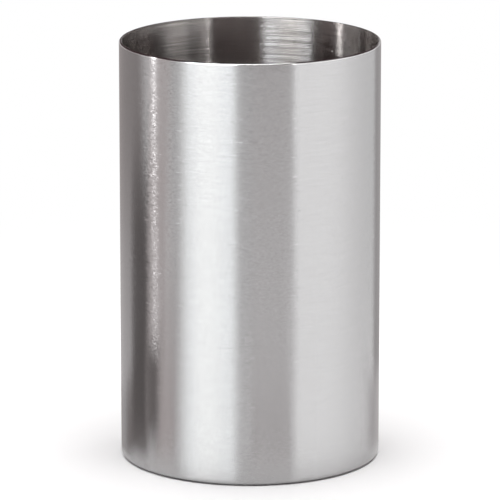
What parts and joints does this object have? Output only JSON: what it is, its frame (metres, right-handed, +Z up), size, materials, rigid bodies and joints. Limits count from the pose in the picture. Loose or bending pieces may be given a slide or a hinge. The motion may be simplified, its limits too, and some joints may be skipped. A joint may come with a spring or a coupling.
{
  "type": "mixing cup",
  "caption": "Straight-sided brushed steel mixing cup: a thin open tube with a rounded rim, closed by a flat welded-in base with a small ground corner.",
  "frame": {"origin": "centre of the flat underside of the base", "axes": "+Z up along the cup's axis, out of its mouth; the picture looks along +Y with +X to its right"},
  "size_m": [0.075, 0.075, 0.122],
  "materials": {
    "wall_steel": "brushed around the axis, polished on the rim",
    "base_steel": "brushed in rings about the axis",
    "weld_steel": "ground flush and brushed with the wall"
  },
  "bodies": {
    "root": {"wall_tube": "wall_steel", "base_disc": "base_steel", "base_weld": "weld_steel"}
  },
  "joints": []
}
